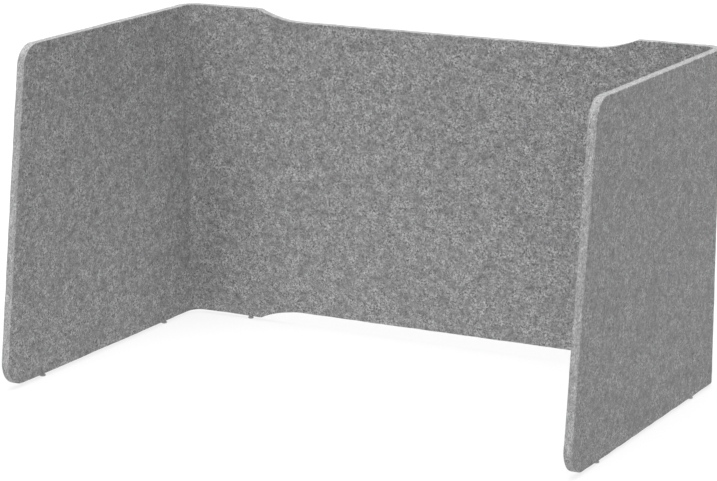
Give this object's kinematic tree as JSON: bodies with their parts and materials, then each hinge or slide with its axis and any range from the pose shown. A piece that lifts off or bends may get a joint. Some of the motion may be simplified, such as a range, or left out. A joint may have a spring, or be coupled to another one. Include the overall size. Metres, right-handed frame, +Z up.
{
  "type": "desk privacy panel",
  "caption": "Free-standing U-shaped desk privacy panel: one sheet of formed felt board with rounded rear bends, slanted wing fronts and small push-in feet.",
  "frame": {"origin": "on the desk surface, under the middle of the panel's outline", "axes": "+X to the user's right, along the back; +Y away from the user, from the open front to the back; +Z up"},
  "size_m": [0.84, 0.4952, 0.465],
  "materials": {
    "felt_board": "mid-grey mottled PET felt board, pressed and slightly fuzzy, with paler cut edges",
    "foot_plastic": "matt grey moulded nylon"
  },
  "bodies": {
    "back": {"back_panel": "felt_board", "left_bend": "felt_board", "right_bend": "felt_board", "back_left_foot": "foot_plastic", "back_right_foot": "foot_plastic"},
    "left_wing": {"left_wing": "felt_board", "front_left_foot": "foot_plastic", "rear_left_foot": "foot_plastic"},
    "right_wing": {"right_wing": "felt_board", "front_right_foot": "foot_plastic", "rear_right_foot": "foot_plastic"}
  },
  "joints": [
    {"name": "left_wing_flex", "type": "hinge", "parent": "back", "child": "left_wing", "pos_m": [-0.40528, 0.2329, 0.235], "axis": [0, 0, 1], "range_deg": [-15, 15], "stiffness_Nm_per_rad": 20, "deforming": ["left_bend"]},
    {"name": "right_wing_flex", "type": "hinge", "parent": "back", "child": "right_wing", "pos_m": [0.40528, 0.2329, 0.235], "axis": [0, 0, -1], "range_deg": [-15, 15], "stiffness_Nm_per_rad": 20, "deforming": ["right_bend"]}
  ]
}
